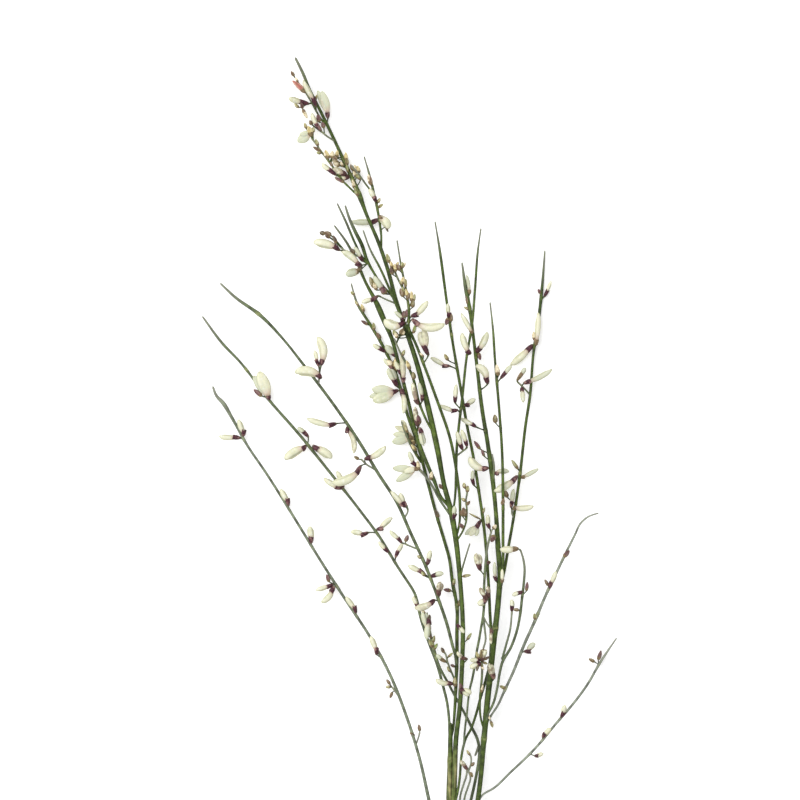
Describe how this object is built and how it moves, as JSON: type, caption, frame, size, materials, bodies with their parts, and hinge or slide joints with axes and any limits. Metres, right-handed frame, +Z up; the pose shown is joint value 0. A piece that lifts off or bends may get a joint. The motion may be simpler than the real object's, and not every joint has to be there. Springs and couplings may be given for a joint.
{
  "type": "dried broom bloom spray",
  "caption": "Cut spray of leafless green broom twigs with small cream pea flowers and dark calyces, lying flat on a surface.",
  "frame": {"origin": "centre of the bounding box, on the surface the spray lies on", "axes": "+Y along the spray from the cut butt to the top tip, +X to the right as it is looked down on, +Z up from the surface"},
  "size_m": [0.1663, 0.3482, 0.0169],
  "materials": {
    "stem_main": "matt green twig with cream flowers",
    "stem_right": "matt green twig with cream flowers",
    "twig_left_1": "matt green twig with cream flowers",
    "twig_left_2": "matt green twig with cream flowers",
    "twig_left_3": "matt green twig with cream flowers",
    "twig_left_low": "matt green twig with cream flowers",
    "twig_mid_1": "matt green twig with cream flowers",
    "twig_mid_2": "matt green twig with cream flowers",
    "twig_mid_3": "matt green twig with cream flowers",
    "twig_mid_4": "matt green twig with cream flowers",
    "twig_mid_5": "matt green twig with cream flowers",
    "twig_mid_6": "matt green twig with cream flowers",
    "twig_mid_7": "matt green twig with cream flowers",
    "twig_mid_8": "matt green twig with cream flowers",
    "twig_right_1": "matt green twig with cream flowers",
    "twig_right_2": "matt green twig with cream flowers",
    "twig_right_3": "matt green twig with cream flowers",
    "twig_right_4": "matt green twig with cream flowers",
    "twig_right_5": "matt green twig with cream flowers",
    "twig_right_6": "matt green twig with cream flowers",
    "twig_right_7": "matt green twig with cream flowers",
    "twig_right_8": "matt green twig with cream flowers",
    "twig_low_1": "matt green twig with cream flowers",
    "twig_low_2": "matt green twig with cream flowers"
  },
  "bodies": {
    "root": {"stem_main": "stem_main", "stem_right": "stem_right", "twig_left_1": "twig_left_1", "twig_left_2": "twig_left_2", "twig_left_3": "twig_left_3", "twig_left_low": "twig_left_low", "twig_mid_1": "twig_mid_1", "twig_mid_2": "twig_mid_2", "twig_mid_3": "twig_mid_3", "twig_mid_4": "twig_mid_4", "twig_mid_5": "twig_mid_5", "twig_mid_6": "twig_mid_6", "twig_mid_7": "twig_mid_7", "twig_mid_8": "twig_mid_8", "twig_right_1": "twig_right_1", "twig_right_2": "twig_right_2", "twig_right_3": "twig_right_3", "twig_right_4": "twig_right_4", "twig_right_5": "twig_right_5", "twig_right_6": "twig_right_6", "twig_right_7": "twig_right_7", "twig_right_8": "twig_right_8", "twig_low_1": "twig_low_1", "twig_low_2": "twig_low_2"}
  },
  "joints": []
}
